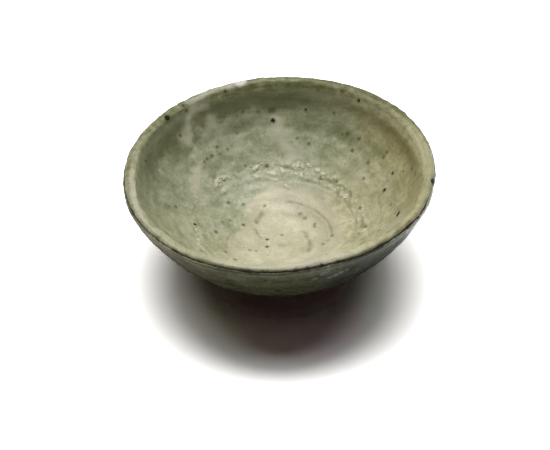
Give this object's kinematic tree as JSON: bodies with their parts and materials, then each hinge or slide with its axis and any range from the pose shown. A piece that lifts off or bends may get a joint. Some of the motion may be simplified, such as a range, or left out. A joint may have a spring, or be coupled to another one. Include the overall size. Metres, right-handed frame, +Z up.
{
  "type": "pottery bowl",
  "caption": "Hand-thrown stoneware bowl with a rolled lip, round wall and ring foot, under a speckled pale green glaze, for serving food or drink.",
  "frame": {"origin": "centre of the foot ring's standing face, on the table", "axes": "+Z up along the wheel's axis; +X towards the side where the uneven lip is highest; the picture looks along +Y"},
  "size_m": [0.15, 0.15, 0.0651],
  "materials": {
    "clay": "bare iron-brown stoneware, matt",
    "foot_clay": "bare stoneware with turning marks, matt",
    "inner_glaze": "speckled grey-green celadon, satin gloss",
    "outer_glaze": "speckled olive-green celadon, satin gloss",
    "base_glaze": "thin olive-green celadon, satin gloss",
    "kiln_grit": "pale crumbs of kiln grit, rough"
  },
  "bodies": {
    "root": {"clay_body": "clay", "foot_ring": "foot_clay", "inner_glaze": "inner_glaze", "outer_glaze": "outer_glaze", "base_glaze": "base_glaze", "kiln_grit_ring": "kiln_grit"}
  },
  "joints": []
}
